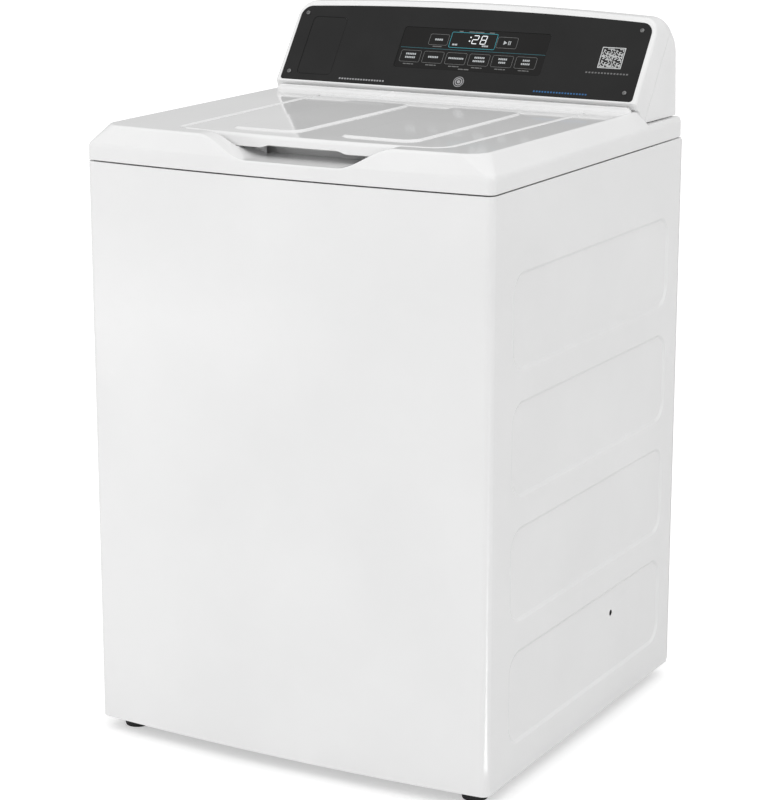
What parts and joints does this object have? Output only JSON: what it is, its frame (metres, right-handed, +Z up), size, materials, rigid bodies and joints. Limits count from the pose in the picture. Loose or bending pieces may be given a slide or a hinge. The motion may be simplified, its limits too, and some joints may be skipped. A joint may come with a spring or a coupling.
{
  "type": "top-load laundry washing machine",
  "caption": "White commercial top-load washer with sloped black control fascia, hinged lid with handle scoop, suspended tub, basket and agitator.",
  "frame": {"origin": "on the floor, under the middle of the bounding box", "axes": "+Z up, the front with the handle scoop faces -Y, +X is the viewer's right"},
  "size_m": [0.686, 0.699, 1.11],
  "materials": {
    "white_enamel": "high-gloss baked white enamel",
    "white_plastic": "smooth white moulding, satin gloss",
    "fascia_black": "dark charcoal printed overlay, semi-gloss",
    "display_black": "near-black display window, gloss",
    "grey_plastic": "moulded grey polypropylene",
    "black_rubber": "matte black rubber",
    "stainless": "brushed stainless steel",
    "zinc_steel": "zinc-plated steel",
    "cast_metal": "as-cast aluminium, satin",
    "circuit_board": "green solder-masked board"
  },
  "bodies": {
    "casing": {"cabinet": "white_enamel", "rear_panel": "white_enamel", "base_frame": "zinc_steel", "corner_bracket_front_left": "zinc_steel", "corner_bracket_front_right": "zinc_steel", "corner_bracket_back_left": "zinc_steel", "corner_bracket_back_right": "zinc_steel", "top_cover": "white_enamel", "console_shell": "white_plastic", "console_back": "white_plastic", "fascia": "fascia_black", "display_window": "display_black", "reader_blank_plate": "fascia_black", "fascia_screw_top_left": "stainless", "fascia_screw_bottom_left": "stainless", "fascia_screw_top_right": "stainless", "fascia_screw_bottom_right": "stainless", "control_board": "circuit_board", "lid_lock_housing": "grey_plastic", "water_valve": "grey_plastic", "fill_nozzle": "black_rubber", "drain_port": "grey_plastic", "cord_bushing": "black_rubber", "suspension_rod_front_left": "zinc_steel", "suspension_rod_front_right": "zinc_steel", "suspension_rod_back_left": "zinc_steel", "suspension_rod_back_right": "zinc_steel", "suspension_spring_front_left": "zinc_steel", "suspension_spring_front_right": "zinc_steel", "suspension_spring_back_left": "zinc_steel", "suspension_spring_back_right": "zinc_steel"},
    "foot_front_left": {"foot_front_left": "black_rubber"},
    "foot_front_right": {"foot_front_right": "black_rubber"},
    "foot_back_left": {"foot_back_left": "black_rubber"},
    "foot_back_right": {"foot_back_right": "black_rubber"},
    "lid": {"lid_panel": "white_enamel", "lid_liner": "white_plastic", "lid_hinge_pin_left": "stainless", "lid_hinge_pin_right": "stainless", "lid_strike": "grey_plastic"},
    "lock_bolt": {"lock_bolt": "stainless"},
    "tub": {"outer_tub": "grey_plastic", "tub_cover": "grey_plastic", "gearcase": "cast_metal", "drive_motor": "cast_metal", "pump_body": "grey_plastic", "drive_belt": "black_rubber", "upper_bearing": "stainless", "lower_bearing": "stainless", "tub_seal": "black_rubber"},
    "basket": {"basket": "stainless", "balance_ring": "grey_plastic", "spin_tube": "stainless"},
    "agitator": {"agitator": "white_plastic", "agitator_cap": "white_plastic", "agitator_shaft": "stainless"},
    "drive_pulley": {"drive_pulley": "cast_metal"},
    "motor_pulley": {"motor_pulley": "stainless"},
    "pump_impeller": {"pump_impeller": "grey_plastic"}
  },
  "joints": [
    {"name": "foot_screw_front_left", "type": "slide", "parent": "casing", "child": "foot_front_left", "axis": [0, 0, -1], "range_m": [0, 0.02]},
    {"name": "foot_screw_front_right", "type": "slide", "parent": "casing", "child": "foot_front_right", "axis": [0, 0, -1], "range_m": [0, 0.02]},
    {"name": "foot_screw_back_left", "type": "slide", "parent": "casing", "child": "foot_back_left", "axis": [0, 0, -1], "range_m": [0, 0.02]},
    {"name": "foot_screw_back_right", "type": "slide", "parent": "casing", "child": "foot_back_right", "axis": [0, 0, -1], "range_m": [0, 0.02]},
    {"name": "lid_hinge", "type": "hinge", "parent": "casing", "child": "lid", "pos_m": [0.0225, 0.139, 0.96], "axis": [-1, 0, 0], "range_deg": [0, 105]},
    {"name": "lock_bolt_slide", "type": "slide", "parent": "casing", "child": "lock_bolt", "axis": [-1, 0, 0], "range_m": [0, 0.012]},
    {"name": "tub_suspension", "type": "slide", "parent": "casing", "child": "tub", "axis": [0, 0, 1], "range_m": [-0.02, 0.01], "stiffness_N_per_m": 9000, "springref_m": 0.0436, "deforming": ["suspension_spring_front_left", "suspension_spring_front_right", "suspension_spring_back_left", "suspension_spring_back_right"]},
    {"name": "basket_spin", "type": "hinge", "parent": "tub", "child": "basket", "pos_m": [0, -0.0075, 0.318], "axis": [0, 0, 1], "continuous": true},
    {"name": "agitator_turn", "type": "hinge", "parent": "basket", "child": "agitator", "pos_m": [0, -0.0075, 0.344], "axis": [0, 0, 1], "range_deg": [-105, 105]},
    {"name": "drive_pulley_spin", "type": "hinge", "parent": "tub", "child": "drive_pulley", "pos_m": [0, -0.0075, 0.115], "axis": [0, 0, 1], "continuous": true},
    {"name": "motor_pulley_spin", "type": "hinge", "parent": "tub", "child": "motor_pulley", "pos_m": [0.175, -0.0075, 0.115], "axis": [0, 0, 1], "continuous": true},
    {"name": "pump_impeller_spin", "type": "hinge", "parent": "tub", "child": "pump_impeller", "pos_m": [-0.17, -0.0075, 0.205], "axis": [0, 0, 1], "continuous": true}
  ],
  "couplings": [
    {"joint": "drive_pulley_spin", "follows": "basket_spin", "ratio": 1},
    {"joint": "motor_pulley_spin", "follows": "basket_spin", "ratio": 5.6}
  ]
}
